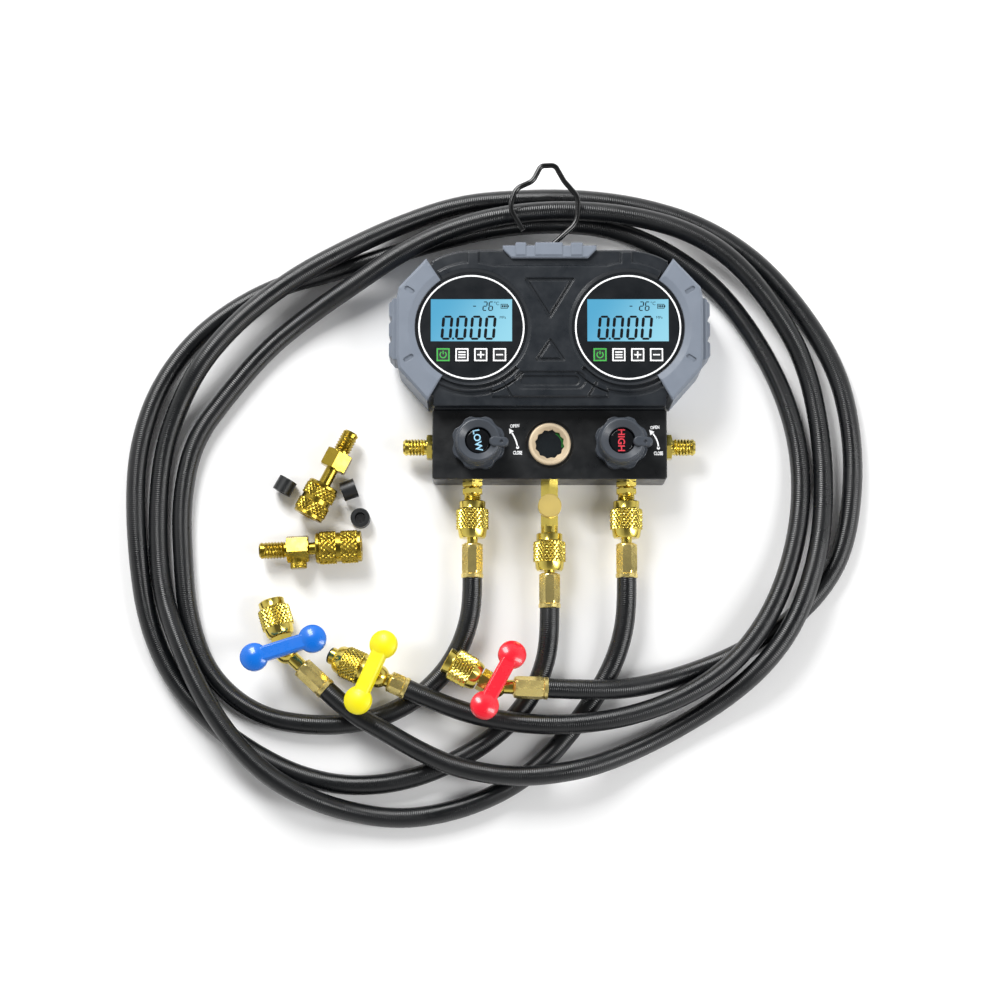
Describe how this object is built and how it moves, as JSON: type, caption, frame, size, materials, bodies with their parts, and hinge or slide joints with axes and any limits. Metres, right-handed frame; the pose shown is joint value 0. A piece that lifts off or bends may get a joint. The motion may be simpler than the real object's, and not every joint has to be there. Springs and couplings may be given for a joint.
{
  "type": "digital refrigerant manifold gauge set",
  "caption": "Flat-lying digital manifold gauge: twin round displays over a black two-valve block, with three coiled hoses, ball valves, couplers and seals.",
  "frame": {"origin": "centre of the manifold block's flat back face, which lies on the table", "axes": "+Z out of the gauge's face, +Y from the hoses towards the hook, +X to the right hand of someone who reads the displays"},
  "size_m": [0.4773, 0.4274, 0.0518],
  "materials": {
    "housing_grey": "fine spark texture, injection moulded ABS",
    "bumper_grey": "matt TPE overmould",
    "face_black": "smooth black acrylic with printed rings",
    "lcd_blue": "backlit liquid crystal panel",
    "circuit_green": "solder-masked laminate",
    "battery_jacket": "printed cell jacket",
    "screw_steel": "black oxide and zinc screws",
    "wire_black": "black coated steel wire",
    "key_rubber": "silicone rubber keys",
    "block_black": "black anodised, machined",
    "brass": "machined, bright",
    "ferrule_metal": "crimped, bright",
    "cap_metal": "turned face, nickel plated",
    "knob_black": "satin moulded plastic",
    "insert_black": "domed gloss insert",
    "ring_gold": "anodised, satin",
    "sight_glass": "thick glass over a dark cavity",
    "hose_rubber": "black, faintly ribbed cover",
    "handle_blue": "glossy blue coat",
    "handle_yellow": "satin yellow coat",
    "handle_red": "glossy red coat",
    "seal_rubber": "black rubber"
  },
  "bodies": {
    "gauge": {"batteries": "battery_jacket", "centre_hose": "hose_rubber", "centre_tee": "brass", "centre_valve_body": "brass", "circuit_boards": "circuit_green", "coupler_bodies": "brass", "displays": "lcd_blue", "front_shell": "housing_grey", "gauge_faces": "face_black", "high_hose": "hose_rubber", "high_valve_body": "brass", "hose_ferrules": "ferrule_metal", "hose_ports": "brass", "hose_stems": "brass", "left_bumper": "bumper_grey", "low_hose": "hose_rubber", "low_valve_body": "brass", "manifold_block": "block_black", "parking_ports": "brass", "pressure_sensors": "cap_metal", "rear_shell": "housing_grey", "right_bumper": "bumper_grey", "screws": "screw_steel", "seals": "seal_rubber", "sight_glass": "sight_glass", "sight_glass_ring": "ring_gold", "tip_seal": "seal_rubber", "top_bumper": "bumper_grey", "valve_bonnets": "brass"},
    "low_valve": {"low_stem": "brass"},
    "low_knob_turning": {"low_knob": "knob_black", "low_knob_insert": "insert_black"},
    "low_power_button": {"low_key_power": "key_rubber"},
    "low_menu_button": {"low_key_menu": "key_rubber"},
    "low_plus_button": {"low_key_plus": "key_rubber"},
    "low_minus_button": {"low_key_minus": "key_rubber"},
    "high_valve": {"high_stem": "brass"},
    "high_knob_turning": {"high_knob": "knob_black", "high_knob_insert": "insert_black"},
    "high_power_button": {"high_key_power": "key_rubber"},
    "high_menu_button": {"high_key_menu": "key_rubber"},
    "high_plus_button": {"high_key_plus": "key_rubber"},
    "high_minus_button": {"high_key_minus": "key_rubber"},
    "battery_door": {"battery_cover": "housing_grey"},
    "hook_wire": {"hook": "wire_black"},
    "low_lever": {"low_handle": "handle_blue", "low_valve_ball": "brass"},
    "low_manifold_nut_turning": {"low_manifold_nut": "brass"},
    "low_service_nut_turning": {"low_service_nut": "brass"},
    "centre_lever": {"centre_handle": "handle_yellow", "centre_valve_ball": "brass"},
    "centre_manifold_nut_turning": {"centre_manifold_nut": "brass"},
    "centre_service_nut_turning": {"centre_service_nut": "brass"},
    "high_lever": {"high_handle": "handle_red", "high_valve_ball": "brass"},
    "high_manifold_nut_turning": {"high_manifold_nut": "brass"},
    "high_service_nut_turning": {"high_service_nut": "brass"},
    "coupler_nut_a_turning": {"coupler_nut_a": "brass"},
    "coupler_nut_b_turning": {"coupler_nut_b": "brass"},
    "tee_cap_turning": {"tee_cap": "cap_metal"}
  },
  "joints": [
    {"name": "low_valve_lift", "type": "slide", "parent": "gauge", "child": "low_valve", "axis": [0, 0, 1], "range_m": [0, 0.00187]},
    {"name": "low_knob_turn", "type": "hinge", "parent": "low_valve", "child": "low_knob_turning", "pos_m": [-0.0455, 0, 0.031], "axis": [0, 0, 1], "range_deg": [0, 450]},
    {"name": "low_power_press", "type": "slide", "parent": "gauge", "child": "low_power_button", "axis": [0, 0, -1], "range_m": [0, 0.0006], "stiffness_N_per_m": 1500},
    {"name": "low_menu_press", "type": "slide", "parent": "gauge", "child": "low_menu_button", "axis": [0, 0, -1], "range_m": [0, 0.0006], "stiffness_N_per_m": 1500},
    {"name": "low_plus_press", "type": "slide", "parent": "gauge", "child": "low_plus_button", "axis": [0, 0, -1], "range_m": [0, 0.0006], "stiffness_N_per_m": 1500},
    {"name": "low_minus_press", "type": "slide", "parent": "gauge", "child": "low_minus_button", "axis": [0, 0, -1], "range_m": [0, 0.0006], "stiffness_N_per_m": 1500},
    {"name": "high_valve_lift", "type": "slide", "parent": "gauge", "child": "high_valve", "axis": [0, 0, 1], "range_m": [0, 0.00187]},
    {"name": "high_knob_turn", "type": "hinge", "parent": "high_valve", "child": "high_knob_turning", "pos_m": [0.0455, 0, 0.031], "axis": [0, 0, 1], "range_deg": [0, 450]},
    {"name": "high_power_press", "type": "slide", "parent": "gauge", "child": "high_power_button", "axis": [0, 0, -1], "range_m": [0, 0.0006], "stiffness_N_per_m": 1500},
    {"name": "high_menu_press", "type": "slide", "parent": "gauge", "child": "high_menu_button", "axis": [0, 0, -1], "range_m": [0, 0.0006], "stiffness_N_per_m": 1500},
    {"name": "high_plus_press", "type": "slide", "parent": "gauge", "child": "high_plus_button", "axis": [0, 0, -1], "range_m": [0, 0.0006], "stiffness_N_per_m": 1500},
    {"name": "high_minus_press", "type": "slide", "parent": "gauge", "child": "high_minus_button", "axis": [0, 0, -1], "range_m": [0, 0.0006], "stiffness_N_per_m": 1500},
    {"name": "battery_cover_slide", "type": "slide", "parent": "gauge", "child": "battery_door", "axis": [0, -1, 0], "range_m": [0, 0.0055]},
    {"name": "hook_swing", "type": "hinge", "parent": "gauge", "child": "hook_wire", "pos_m": [-0.0082, 0.1202, 0.032], "axis": [0, 0, 1], "range_deg": [-15, 15]},
    {"name": "low_lever_turn", "type": "hinge", "parent": "gauge", "child": "low_lever", "pos_m": [-0.16845, -0.13207, 0.01584], "axis": [-0.0419, 0.1327, 0.9903], "range_deg": [0, 90]},
    {"name": "low_manifold_nut_turn", "type": "hinge", "parent": "gauge", "child": "low_manifold_nut_turning", "pos_m": [-0.0495, -0.0225, 0.015], "axis": [0, -1, 0], "continuous": true},
    {"name": "low_service_nut_turn", "type": "hinge", "parent": "gauge", "child": "low_service_nut_turning", "pos_m": [-0.17893, -0.09883, 0.01094], "axis": [0.2978, -0.9444, 0.1392], "continuous": true},
    {"name": "centre_lever_turn", "type": "hinge", "parent": "gauge", "child": "centre_lever", "pos_m": [-0.10956, -0.14757, 0.02124], "axis": [-0.2665, 0.1203, 0.9563], "range_deg": [0, 90]},
    {"name": "centre_manifold_nut_turn", "type": "hinge", "parent": "gauge", "child": "centre_manifold_nut_turning", "pos_m": [0, -0.0225, 0.015], "axis": [0, -1, 0], "continuous": true},
    {"name": "centre_service_nut_turn", "type": "hinge", "parent": "gauge", "child": "centre_service_nut_turning", "pos_m": [-0.14024, -0.13372, 0.01095], "axis": [0.8716, -0.3935, 0.2924], "continuous": true},
    {"name": "high_lever_turn", "type": "hinge", "parent": "gauge", "child": "high_lever", "pos_m": [-0.03525, -0.15433, 0.02506], "axis": [0.1828, 0.2521, 0.9503], "range_deg": [0, 90]},
    {"name": "high_manifold_nut_turn", "type": "hinge", "parent": "gauge", "child": "high_manifold_nut_turning", "pos_m": [0.0495, -0.0225, 0.015], "axis": [0, -1, 0], "continuous": true},
    {"name": "high_service_nut_turn", "type": "hinge", "parent": "gauge", "child": "high_service_nut_turning", "pos_m": [-0.06604, -0.13734, 0.02647], "axis": [0.8748, -0.4829, -0.0401], "continuous": true},
    {"name": "coupler_nut_a_turn", "type": "hinge", "parent": "gauge", "child": "coupler_nut_a_turning", "pos_m": [-0.1278, 0.0106, 0.011], "axis": [-0.4571, -0.8894, 0], "continuous": true},
    {"name": "coupler_nut_b_turn", "type": "hinge", "parent": "gauge", "child": "coupler_nut_b_turning", "pos_m": [-0.1867, -0.0667, 0.011], "axis": [0.9988, 0.0488, 0], "continuous": true},
    {"name": "tee_cap_turn", "type": "hinge", "parent": "gauge", "child": "tee_cap_turning", "pos_m": [0, -0.0393, 0], "axis": [0, 0, 1], "continuous": true}
  ],
  "couplings": [
    {"joint": "low_knob_turn", "follows": "low_valve_lift", "rad_per_m": 4188.8},
    {"joint": "high_knob_turn", "follows": "high_valve_lift", "rad_per_m": 4188.8}
  ]
}
